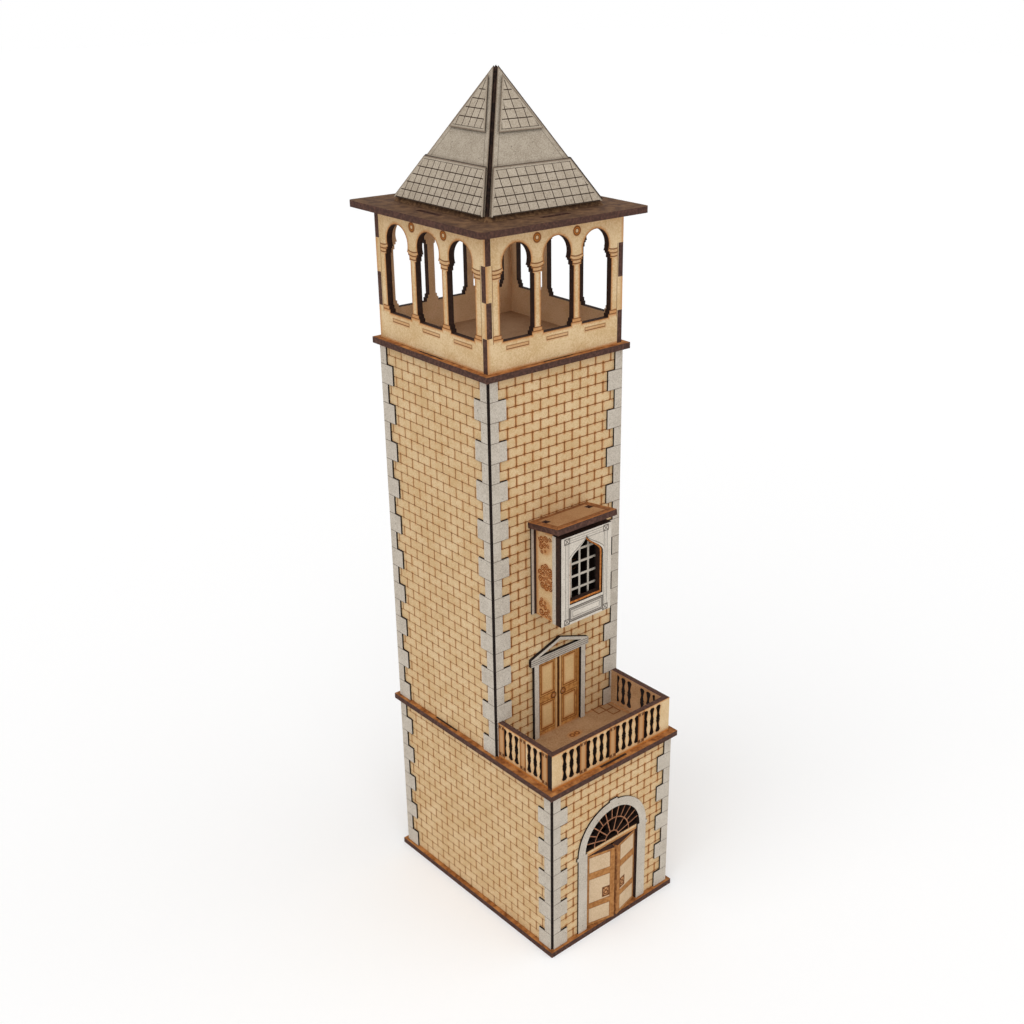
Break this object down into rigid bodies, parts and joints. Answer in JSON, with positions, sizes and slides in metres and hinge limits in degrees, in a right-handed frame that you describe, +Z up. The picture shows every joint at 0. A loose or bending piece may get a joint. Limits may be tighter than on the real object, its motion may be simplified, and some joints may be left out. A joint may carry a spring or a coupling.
{
  "type": "model bell tower",
  "caption": "Tabletop model of a square brick bell tower in cut fibreboard and card, with a hinged double door, balcony, bay window, open arched belfry and pyramid roof.",
  "frame": {"origin": "centre of the base plate's underside", "axes": "+Z up; the double door and the balcony face -Y; +X to the right seen from the front"},
  "size_m": [0.099, 0.1361, 0.4246],
  "materials": {
    "brick_board": "matte, etched",
    "plain_board": "matte",
    "burnt_board": "matte, scorched",
    "grey_card": "matte",
    "roof_card": "matte"
  },
  "bodies": {
    "tower": {"lower_front_wall_left": "brick_board", "lower_front_wall_right": "brick_board", "lower_front_wall_head": "brick_board", "lower_left_wall": "brick_board", "lower_right_wall": "brick_board", "lower_back_wall": "brick_board", "shaft_front_wall": "brick_board", "shaft_left_wall": "brick_board", "shaft_right_wall": "brick_board", "shaft_back_wall": "brick_board", "balustrade_front": "plain_board", "balustrade_left": "plain_board", "balustrade_right": "plain_board", "bay_left_side": "plain_board", "bay_right_side": "plain_board", "bay_front_board": "plain_board", "bay_floor": "plain_board", "belfry_front_wall": "plain_board", "belfry_right_wall": "plain_board", "belfry_back_wall": "plain_board", "belfry_left_wall": "plain_board", "base_plate": "burnt_board", "ledge_plate": "burnt_board", "cornice_plate": "burnt_board", "eaves_plate": "burnt_board", "bay_roof": "burnt_board", "roof_front_panel": "burnt_board", "roof_front_tiles": "roof_card", "roof_right_panel": "burnt_board", "roof_right_tiles": "roof_card", "roof_back_panel": "burnt_board", "roof_back_tiles": "roof_card", "roof_left_panel": "burnt_board", "roof_left_tiles": "roof_card", "lower_corner_stones": "grey_card", "door_surround": "grey_card", "shaft_corner_stones": "grey_card", "balcony_door_surround": "grey_card", "bay_front_card": "grey_card", "bay_corner_cards": "grey_card", "bay_grille": "grey_card"},
    "left_door": {"left_door_leaf": "plain_board"},
    "right_door": {"right_door_leaf": "plain_board"}
  },
  "joints": [
    {"name": "left_door_hinge", "type": "hinge", "parent": "tower", "child": "left_door", "pos_m": [-0.01615, -0.0605, 0.003], "axis": [0, 0, -1], "range_deg": [-13, 77]},
    {"name": "right_door_hinge", "type": "hinge", "parent": "tower", "child": "right_door", "pos_m": [0.01615, -0.0605, 0.003], "axis": [0, 0, 1], "range_deg": [-13, 77]}
  ]
}
